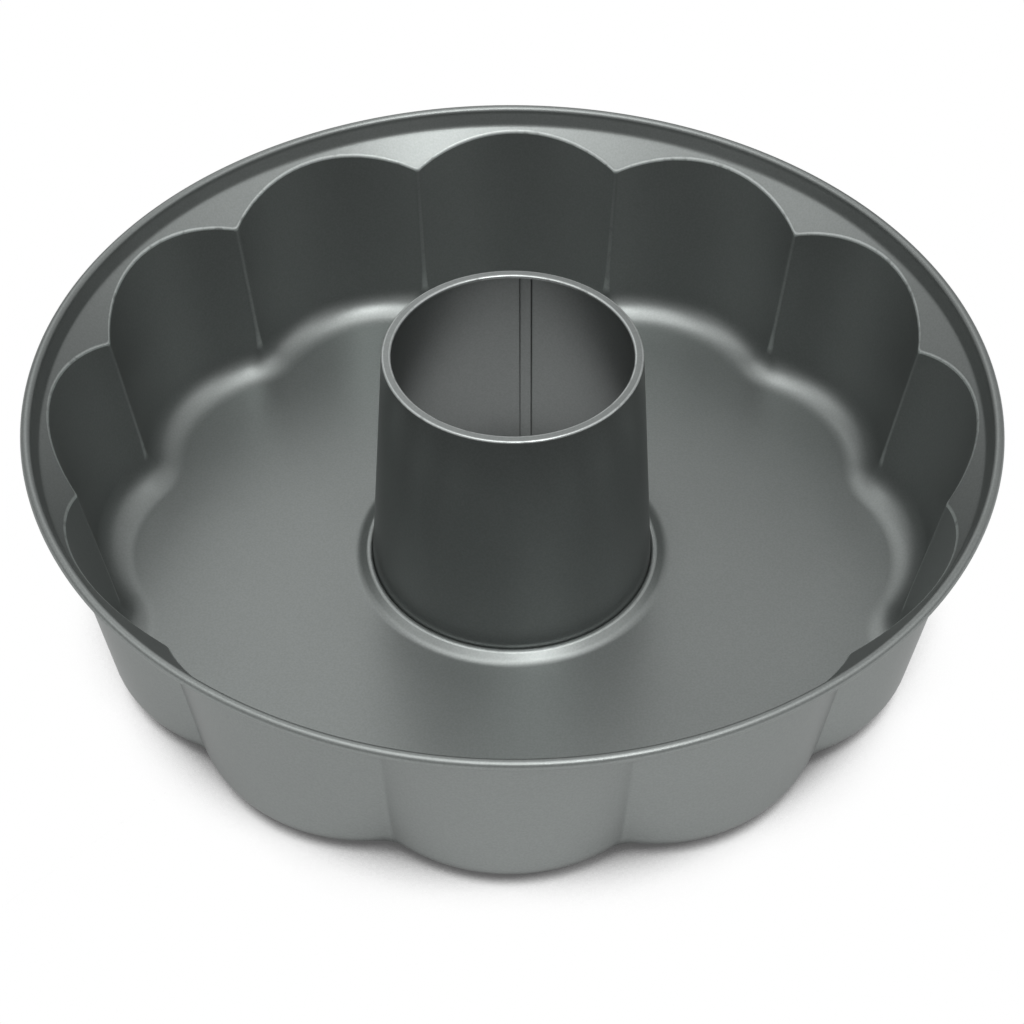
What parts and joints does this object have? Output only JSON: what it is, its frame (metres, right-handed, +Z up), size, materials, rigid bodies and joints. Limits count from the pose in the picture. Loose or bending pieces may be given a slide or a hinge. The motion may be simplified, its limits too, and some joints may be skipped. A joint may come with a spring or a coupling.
{
  "type": "bundt pan",
  "caption": "Scalloped ring-cake pan with a conical centre tube, a flared ledge, a rounded floor edge and a rolled wire rim; satin dark non-stick metal.",
  "frame": {"origin": "centre of the bottom resting plane, on the pan's axis", "axes": "+Z up along the centre tube, +Y through the middle of one lobe of the wall"},
  "size_m": [0.28, 0.28, 0.0804],
  "materials": {
    "coated_sheet": "satin dark grey non-stick coating on steel sheet",
    "tube_sheet": "satin dark grey non-stick coating on steel sheet",
    "wire": "drawn steel wire"
  },
  "bodies": {
    "root": {"pan_shell": "coated_sheet", "rim_wire": "wire", "centre_tube": "tube_sheet"}
  },
  "joints": []
}
